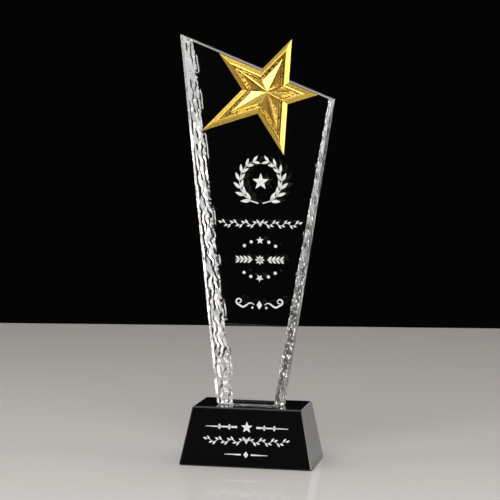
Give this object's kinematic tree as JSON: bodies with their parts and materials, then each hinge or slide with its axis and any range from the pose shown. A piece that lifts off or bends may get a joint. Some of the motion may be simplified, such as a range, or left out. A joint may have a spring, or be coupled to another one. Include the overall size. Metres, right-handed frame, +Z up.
{
  "type": "star trophy",
  "caption": "Free-standing award: tapered clear glass blade with knapped edges and a slanted top on a black glass block, with a raised gold star fixed to its upper front.",
  "frame": {"origin": "centre of the black block's resting face", "axes": "+Z up, -Y out of the front face that carries the star, +X to the right seen from the front"},
  "size_m": [0.0917, 0.0478, 0.2553],
  "materials": {
    "black_glass": "polished",
    "clear_glass": "polished faces, knapped edges",
    "clear_resin": "cured clear glue",
    "gold_plate": "polished gold plating with a grained border",
    "white_print": "white screen print"
  },
  "bodies": {
    "root": {"base_block": "black_glass", "blade": "clear_glass", "blade_bond": "clear_resin", "star": "gold_plate", "star_pad": "clear_resin"}
  },
  "joints": []
}
